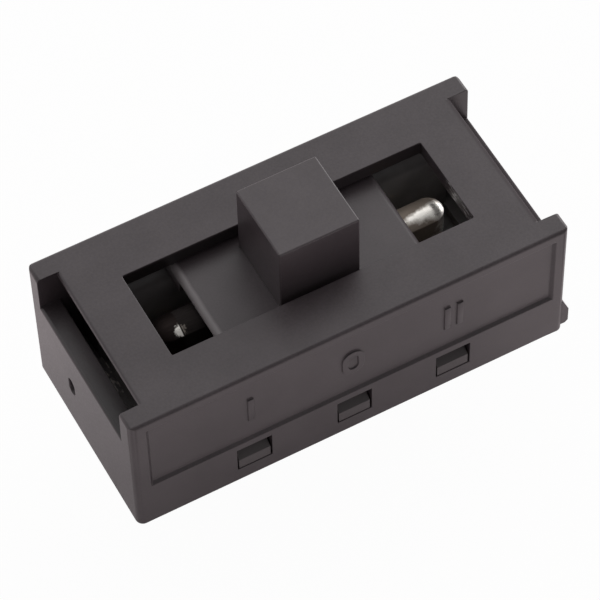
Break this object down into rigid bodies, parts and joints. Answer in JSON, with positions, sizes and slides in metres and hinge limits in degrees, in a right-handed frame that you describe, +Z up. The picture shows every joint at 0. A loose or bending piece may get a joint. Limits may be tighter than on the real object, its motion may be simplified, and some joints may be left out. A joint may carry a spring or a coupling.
{
  "type": "slide switch",
  "caption": "Slide switch with a square button running in a slotted housing, a rocking contact inside and quick-connect tabs under a snap-in base.",
  "frame": {"origin": "middle of the row of tab tips, which the part stands on, under the centre of the housing", "axes": "+X along the slider's travel towards the double-bar mark, +Y from the marked front to the back, +Z up through the button"},
  "size_m": [0.0304, 0.0138, 0.0212],
  "materials": {
    "housing_plastic": "fine spark-eroded grain",
    "base_plastic": "fine grain",
    "slider_plastic": "fine spark-eroded grain",
    "plunger_plastic": "smooth natural",
    "spring_steel": "drawn wire",
    "plated_copper": "silver plated, drawn",
    "contact_silver": "bright silver alloy",
    "terminal_brass": "stamped"
  },
  "bodies": {
    "frame": {"housing": "housing_plastic", "base": "base_plastic", "terminal_left": "terminal_brass", "terminal_centre": "terminal_brass", "terminal_right": "terminal_brass", "fixed_contact_left": "contact_silver", "fixed_contact_right": "contact_silver"},
    "slide": {"slider": "slider_plastic", "plunger_spring": "spring_steel"},
    "pusher": {"plunger": "plunger_plastic"},
    "seesaw": {"rocker": "plated_copper", "moving_contact_left": "contact_silver", "moving_contact_right": "contact_silver"}
  },
  "joints": [
    {"name": "slider_travel", "type": "slide", "parent": "frame", "child": "slide", "axis": [1, 0, 0], "range_m": [-0.007, 0.007]},
    {"name": "plunger_float", "type": "slide", "parent": "slide", "child": "pusher", "axis": [0, 0, 1], "range_m": [0, 0.0005], "stiffness_N_per_m": 500, "springref_m": -0.003, "deforming": ["plunger_spring"]},
    {"name": "rocker_tilt", "type": "hinge", "parent": "frame", "child": "seesaw", "pos_m": [0, 0, 0.01255], "axis": [0, 1, 0], "range_deg": [-6, 6]}
  ],
  "couplings": [
    {"joint": "rocker_tilt", "follows": "slider_travel", "rad_per_m": 14.96}
  ]
}
